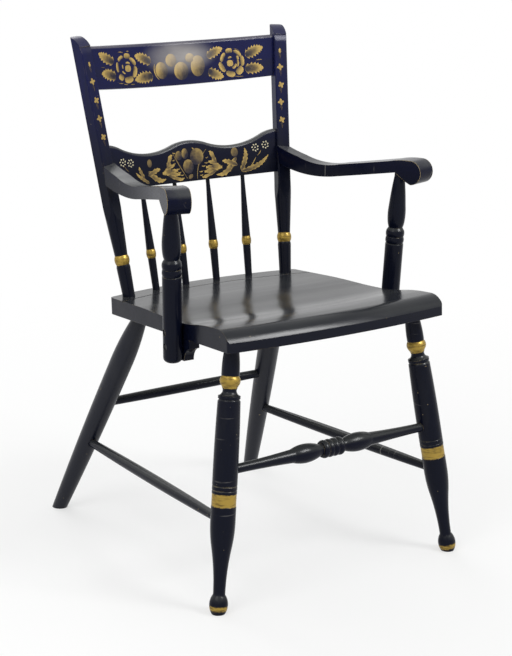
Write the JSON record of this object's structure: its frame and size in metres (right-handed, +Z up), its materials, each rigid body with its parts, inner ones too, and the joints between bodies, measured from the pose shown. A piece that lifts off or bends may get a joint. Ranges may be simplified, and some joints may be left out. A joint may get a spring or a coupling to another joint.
{
  "type": "stenciled painted armchair",
  "caption": "Painted wooden armchair with a scooped plank seat, turned splayed legs and stretchers, a bent crest rail and ogee splat on spindles, and scrolled arms on turned posts.",
  "frame": {"origin": "middle of the floor area under the chair, at floor level", "axes": "+X to the viewer's right as the chair is seen from the front, +Y towards the chair's back, +Z up"},
  "size_m": [0.5164, 0.5778, 0.8435],
  "materials": {
    "painted_wood": "blue-black satin paint with worn gold lines and a gold stencil",
    "screw_metal": "dark painted steel"
  },
  "bodies": {
    "root": {"seat_plank": "painted_wood", "front_leg_left": "painted_wood", "front_leg_right": "painted_wood", "rear_leg_left": "painted_wood", "rear_leg_right": "painted_wood", "front_stretcher": "painted_wood", "rear_stretcher": "painted_wood", "side_stretcher_left": "painted_wood", "side_stretcher_right": "painted_wood", "back_post_left": "painted_wood", "back_post_right": "painted_wood", "crest_rail": "painted_wood", "back_splat": "painted_wood", "spindle_1": "painted_wood", "spindle_2": "painted_wood", "spindle_3": "painted_wood", "spindle_4": "painted_wood", "arm_left": "painted_wood", "arm_right": "painted_wood", "arm_post_left": "painted_wood", "arm_post_right": "painted_wood", "arm_post_block_left": "painted_wood", "arm_post_block_right": "painted_wood", "arm_post_left_screws": "screw_metal", "arm_post_right_screws": "screw_metal", "block_screws_left": "screw_metal", "block_screws_right": "screw_metal"}
  },
  "joints": []
}
